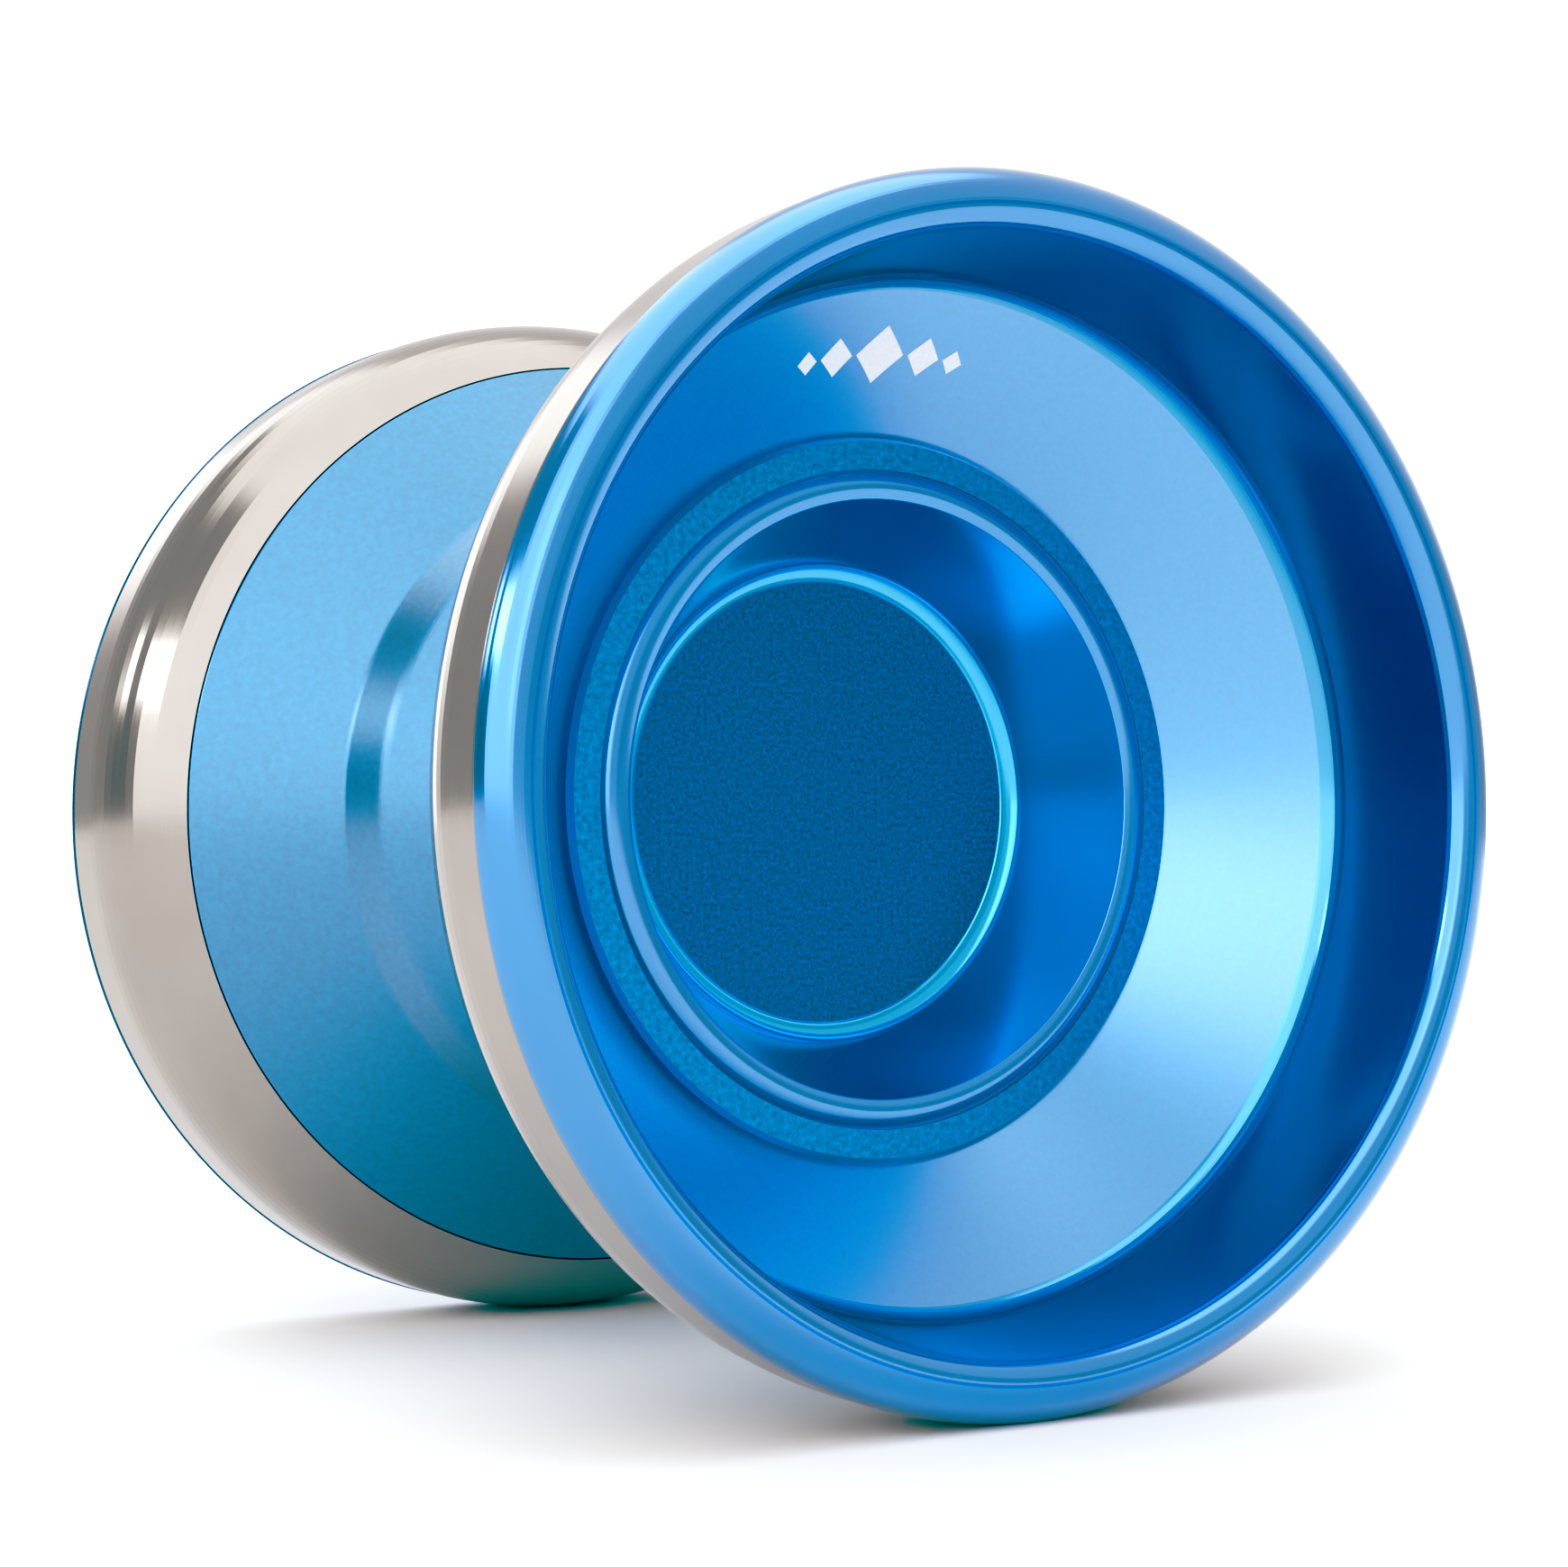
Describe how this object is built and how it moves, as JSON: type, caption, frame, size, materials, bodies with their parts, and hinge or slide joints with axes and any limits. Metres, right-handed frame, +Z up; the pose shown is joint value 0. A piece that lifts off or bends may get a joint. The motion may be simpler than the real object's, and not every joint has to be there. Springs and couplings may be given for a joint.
{
  "type": "yo-yo",
  "caption": "Wide metal yo-yo: cupped aluminium halves with pressed steel rim rings, joined by a threaded axle that carries a ball bearing.",
  "frame": {"origin": "centre of the yo-yo: the middle of the bearing on the axle", "axes": "+Y along the axle towards the rear half, +Z up as the yo-yo stands on its rims, the front half's cup opens towards -Y"},
  "size_m": [0.056, 0.0498, 0.056],
  "materials": {
    "anodised_blue": "blue anodised; cone, string gap walls and cup floor bead-blasted, lip, recess and bead polished",
    "rim_steel": "polished stainless steel with fine turning lines",
    "silicone": "matte silicone",
    "black_steel": "black oxide",
    "bearing_steel": "ground bearing steel",
    "shield_steel": "stamped stainless sheet",
    "cage_steel": "stamped steel",
    "ball_steel": "polished"
  },
  "bodies": {
    "rear_half": {"rear_half_body": "anodised_blue", "rear_rim_ring": "rim_steel", "rear_response_pad": "silicone", "axle_set_screw": "black_steel"},
    "bearing_inner": {"bearing_inner_race": "bearing_steel"},
    "front_half": {"front_half_body": "anodised_blue", "front_rim_ring": "rim_steel", "front_response_pad": "silicone"},
    "bearing_outer": {"bearing_outer_race": "bearing_steel", "front_bearing_shield": "shield_steel", "rear_bearing_shield": "shield_steel", "front_shield_snap_ring": "shield_steel", "rear_shield_snap_ring": "shield_steel"},
    "cage": {"ball_cage": "cage_steel"},
    "ball_1": {"bearing_ball_1": "ball_steel"},
    "ball_2": {"bearing_ball_2": "ball_steel"},
    "ball_3": {"bearing_ball_3": "ball_steel"},
    "ball_4": {"bearing_ball_4": "ball_steel"},
    "ball_5": {"bearing_ball_5": "ball_steel"},
    "ball_6": {"bearing_ball_6": "ball_steel"},
    "ball_7": {"bearing_ball_7": "ball_steel"},
    "ball_8": {"bearing_ball_8": "ball_steel"}
  },
  "joints": [
    {"name": "front_half_unscrew", "type": "hinge", "parent": "bearing_inner", "child": "front_half", "pos_m": [0, 0, 0], "axis": [0, -1, 0], "range_deg": [0, 2160]},
    {"name": "bearing_lift", "type": "slide", "parent": "rear_half", "child": "bearing_inner", "axis": [0, -1, 0], "range_m": [0, 0.0042]},
    {"name": "bearing_spin", "type": "hinge", "parent": "bearing_inner", "child": "bearing_outer", "pos_m": [0, 0, 0], "axis": [0, 1, 0], "continuous": true},
    {"name": "cage_turn", "type": "hinge", "parent": "bearing_inner", "child": "cage", "pos_m": [0, 0, 0], "axis": [0, 1, 0], "continuous": true},
    {"name": "ball_1_roll", "type": "hinge", "parent": "cage", "child": "ball_1", "pos_m": [0.0044, 0, 0.00182], "axis": [0, 1, 0], "continuous": true},
    {"name": "ball_2_roll", "type": "hinge", "parent": "cage", "child": "ball_2", "pos_m": [0.00182, 0, 0.0044], "axis": [0, 1, 0], "continuous": true},
    {"name": "ball_3_roll", "type": "hinge", "parent": "cage", "child": "ball_3", "pos_m": [-0.00182, 0, 0.0044], "axis": [0, 1, 0], "continuous": true},
    {"name": "ball_4_roll", "type": "hinge", "parent": "cage", "child": "ball_4", "pos_m": [-0.0044, 0, 0.00182], "axis": [0, 1, 0], "continuous": true},
    {"name": "ball_5_roll", "type": "hinge", "parent": "cage", "child": "ball_5", "pos_m": [-0.0044, 0, -0.00182], "axis": [0, 1, 0], "continuous": true},
    {"name": "ball_6_roll", "type": "hinge", "parent": "cage", "child": "ball_6", "pos_m": [-0.00182, 0, -0.0044], "axis": [0, 1, 0], "continuous": true},
    {"name": "ball_7_roll", "type": "hinge", "parent": "cage", "child": "ball_7", "pos_m": [0.00182, 0, -0.0044], "axis": [0, 1, 0], "continuous": true},
    {"name": "ball_8_roll", "type": "hinge", "parent": "cage", "child": "ball_8", "pos_m": [0.0044, 0, -0.00182], "axis": [0, 1, 0], "continuous": true}
  ],
  "couplings": [
    {"joint": "bearing_lift", "follows": "front_half_unscrew", "m_per_rad": 0.00011141},
    {"joint": "cage_turn", "follows": "bearing_spin", "ratio": 0.58333},
    {"joint": "ball_1_roll", "follows": "bearing_spin", "ratio": 2.9167},
    {"joint": "ball_2_roll", "follows": "bearing_spin", "ratio": 2.9167},
    {"joint": "ball_3_roll", "follows": "bearing_spin", "ratio": 2.9167},
    {"joint": "ball_4_roll", "follows": "bearing_spin", "ratio": 2.9167},
    {"joint": "ball_5_roll", "follows": "bearing_spin", "ratio": 2.9167},
    {"joint": "ball_6_roll", "follows": "bearing_spin", "ratio": 2.9167},
    {"joint": "ball_7_roll", "follows": "bearing_spin", "ratio": 2.9167},
    {"joint": "ball_8_roll", "follows": "bearing_spin", "ratio": 2.9167}
  ]
}
